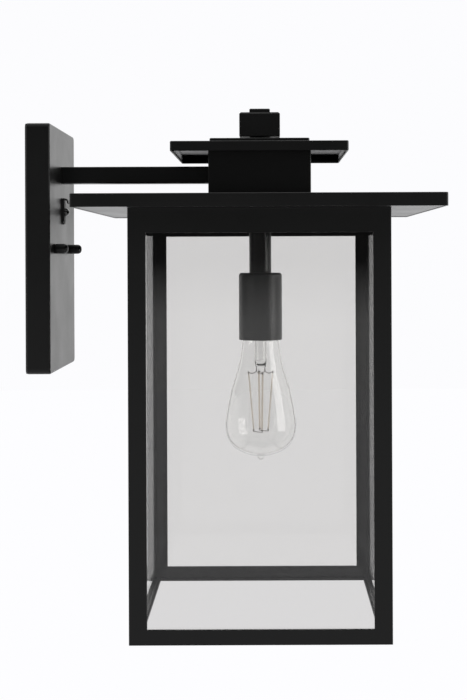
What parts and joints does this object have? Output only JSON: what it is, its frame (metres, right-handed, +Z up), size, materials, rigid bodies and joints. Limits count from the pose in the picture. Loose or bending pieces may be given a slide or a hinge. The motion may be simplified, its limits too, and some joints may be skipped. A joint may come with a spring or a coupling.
{
  "type": "outdoor wall lantern",
  "caption": "Square black wall lantern with a double roof, clear glass cage, short square arm on a tall back plate with a dusk sensor, and a clear filament bulb.",
  "frame": {"origin": "centre of the back plate, on the wall face", "axes": "+X away from the wall, +Z up, +Y to the side; the lantern hangs from the arm on +X"},
  "size_m": [0.348, 0.298, 0.45],
  "materials": {
    "black_powder_coat": "fine satin powder coat",
    "socket_grey": "satin dark grey paint",
    "zinc_steel": "zinc plated",
    "brass": "rolled brass",
    "nickel_cap": "nickel plated, rolled thread",
    "ground_green": "green dyed zinc",
    "clear_glass": "clear polished float glass",
    "tinted_glass": "clear float glass, slightly grey",
    "bulb_clear": "clear blown glass",
    "foam_gasket": "closed cell foam",
    "sensor_black": "moulded, fine matt",
    "sensor_lens": "smoked polycarbonate",
    "module_case": "moulded white",
    "porcelain": "white glaze",
    "vitrite": "black fused glass",
    "filament": "phosphor coated strip",
    "support_wire": "drawn wire",
    "lead_black": "pvc insulation",
    "lead_white": "pvc insulation"
  },
  "bodies": {
    "lantern": {"backplate": "black_powder_coat", "arm_tube": "black_powder_coat", "collar": "black_powder_coat", "roof_pan": "black_powder_coat", "upper_roof": "black_powder_coat", "upper_cap": "black_powder_coat", "roof_soffit": "black_powder_coat", "finial_washer": "black_powder_coat", "stem_tube": "black_powder_coat", "top_rail_near": "black_powder_coat", "bottom_rail_near": "black_powder_coat", "post_wall_near": "black_powder_coat", "glass_near": "tinted_glass", "top_rail_out": "black_powder_coat", "bottom_rail_out": "black_powder_coat", "post_near_out": "black_powder_coat", "glass_out": "clear_glass", "top_rail_far": "black_powder_coat", "bottom_rail_far": "black_powder_coat", "post_out_far": "black_powder_coat", "glass_far": "clear_glass", "top_rail_wall": "black_powder_coat", "bottom_rail_wall": "black_powder_coat", "post_far_wall": "black_powder_coat", "glass_wall": "clear_glass", "socket_cover": "socket_grey", "wall_gasket": "foam_gasket", "mounting_strap": "zinc_steel", "strap_studs": "zinc_steel", "stud_locknuts": "zinc_steel", "arm_plug": "zinc_steel", "arm_nipple": "zinc_steel", "arm_nut": "zinc_steel", "lamp_pipe": "zinc_steel", "pipe_nuts": "zinc_steel", "roof_spacer": "zinc_steel", "glass_clips": "zinc_steel", "clip_screws": "zinc_steel", "socket_bracket": "zinc_steel", "socket_screws": "zinc_steel", "ground_screw": "ground_green", "photocell_bezel": "sensor_black", "photocell_lens": "sensor_lens", "photocell_module": "module_case", "socket_insulator": "porcelain", "socket_shell": "brass", "socket_contact": "brass", "lead_black": "lead_black", "lead_white": "lead_white"},
    "finial": {"finial": "black_powder_coat", "finial_button": "black_powder_coat"},
    "bulb": {"bulb_glass": "bulb_clear", "bulb_cap": "nickel_cap", "bulb_insulator": "vitrite", "bulb_contact": "brass", "bulb_mount": "bulb_clear", "bulb_filaments": "filament", "bulb_wires": "support_wire"},
    "cap_nut_near": {"cap_nut_near": "black_powder_coat"},
    "cap_nut_far": {"cap_nut_far": "black_powder_coat"}
  },
  "joints": [
    {"name": "finial_turn", "type": "hinge", "parent": "lantern", "child": "finial", "pos_m": [0.199, 0, 0.1], "axis": [0, 0, 1], "continuous": true},
    {"name": "bulb_turn", "type": "hinge", "parent": "lantern", "child": "bulb", "pos_m": [0.199, 0, -0.06], "axis": [0, 0, 1], "continuous": true},
    {"name": "cap_nut_near_turn", "type": "hinge", "parent": "lantern", "child": "cap_nut_near", "pos_m": [0.025, -0.04, 0], "axis": [1, 0, 0], "continuous": true},
    {"name": "cap_nut_far_turn", "type": "hinge", "parent": "lantern", "child": "cap_nut_far", "pos_m": [0.025, 0.04, 0], "axis": [1, 0, 0], "continuous": true}
  ]
}
